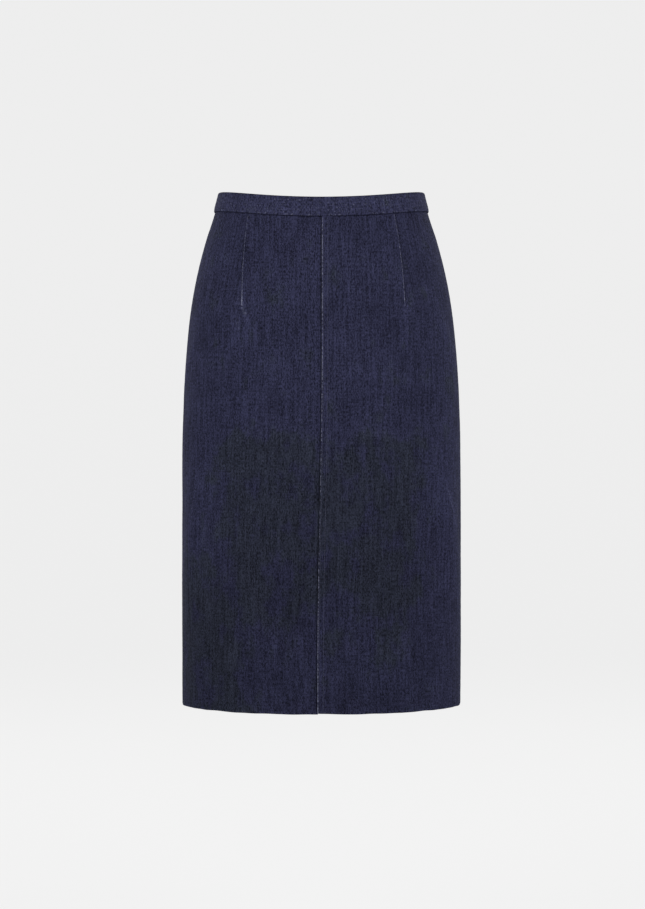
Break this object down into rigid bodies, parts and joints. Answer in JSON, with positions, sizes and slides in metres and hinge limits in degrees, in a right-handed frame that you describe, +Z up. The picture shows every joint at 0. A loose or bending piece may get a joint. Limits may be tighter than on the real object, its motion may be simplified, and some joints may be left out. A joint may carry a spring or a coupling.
{
  "type": "denim skirt",
  "caption": "Straight knee-length denim skirt, hollow as worn, with a plain waistband, a lapped centre-front seam, waist darts, a turned-up hem and a concealed zip behind.",
  "frame": {"origin": "the middle of the waist, at half the height of the waistband at its side seams, where the wearer holds the skirt up", "axes": "+Z up, the front faces -Y, the wearer's left side is at +X"},
  "size_m": [0.365, 0.2654, 0.6687],
  "materials": {
    "denim": "dark indigo twill, dry and matt, with faint slubs",
    "zip_tape": "navy woven tape and nylon coil",
    "zip_enamel": "navy enamel, satin"
  },
  "bodies": {
    "skirt": {"front_panel_left": "denim", "front_panel_right": "denim", "back_panel_left": "denim", "back_panel_right": "denim", "waistband_front": "denim", "waistband_back_left": "denim", "waistband_back_right": "denim", "zip_tape_left": "zip_tape", "zip_tape_right": "zip_tape", "zip_coil": "zip_tape", "zip_slider": "zip_enamel"},
    "pull_tab": {"zip_pull": "zip_enamel"}
  },
  "joints": [
    {"name": "pull_swing", "type": "hinge", "parent": "skirt", "child": "pull_tab", "pos_m": [0, 0.1041, 0.00349], "axis": [1, 0, 0], "range_deg": [0, 170]}
  ]
}
